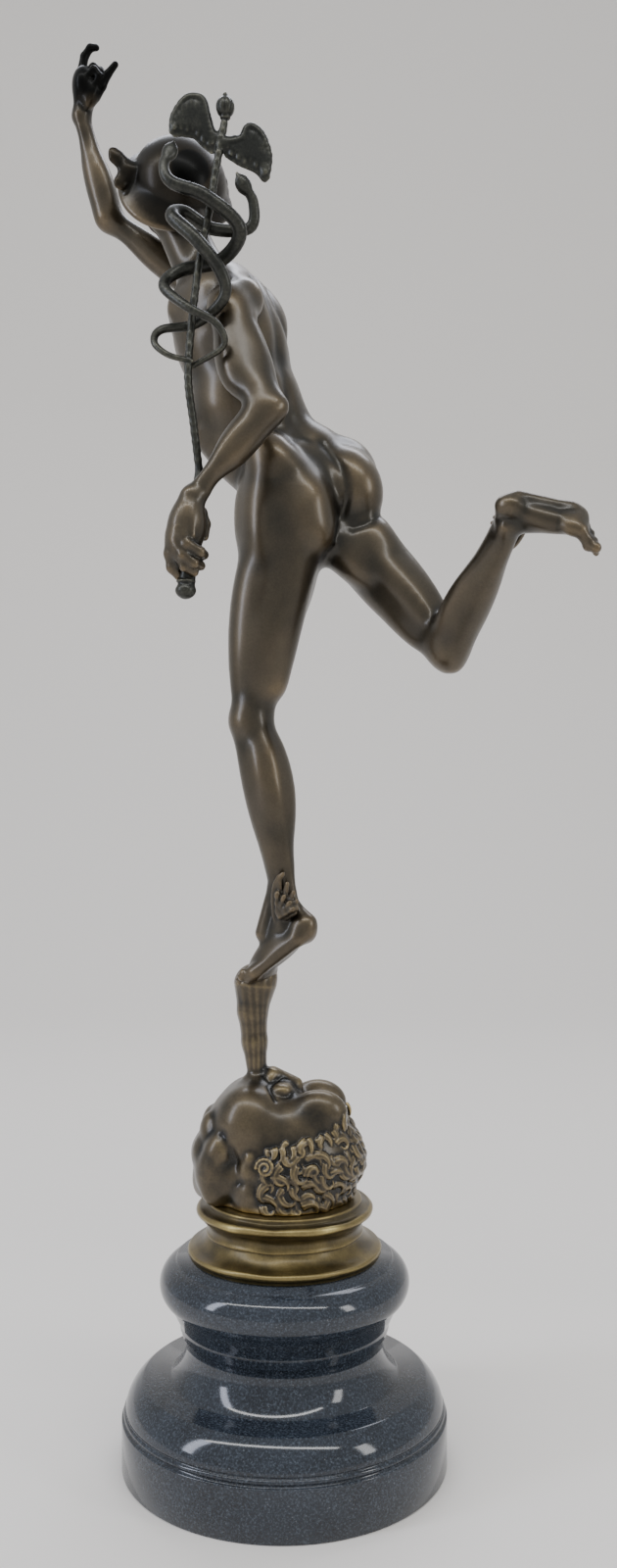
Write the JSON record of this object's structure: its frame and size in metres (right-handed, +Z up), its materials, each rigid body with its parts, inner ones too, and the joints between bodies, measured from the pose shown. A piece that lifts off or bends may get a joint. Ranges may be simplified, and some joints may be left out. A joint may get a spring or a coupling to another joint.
{
  "type": "bronze figure of mercury on a marble socle",
  "caption": "Cast bronze figure of a winged messenger poised on the breath of a wind head, with a snake wand, on a turned bronze plinth and marble socle.",
  "frame": {"origin": "centre of the marble socle's underside", "axes": "+Z up along the socle's axis, +Y away from the viewer who sees the figure's back, +X to that viewer's right, where the raised leg is"},
  "size_m": [0.2717, 0.1856, 0.7884],
  "materials": {
    "polished_marble": "polished dark speckled marble",
    "golden_bronze": "satin patina, worn to brass at the rim",
    "brown_bronze": "brown satin patina with golden rub",
    "dark_bronze": "dark green-grey patina"
  },
  "bodies": {
    "root": {"marble_socle": "polished_marble", "bronze_plinth": "golden_bronze", "wind_head": "brown_bronze", "mercury_figure": "brown_bronze", "caduceus": "dark_bronze"}
  },
  "joints": []
}
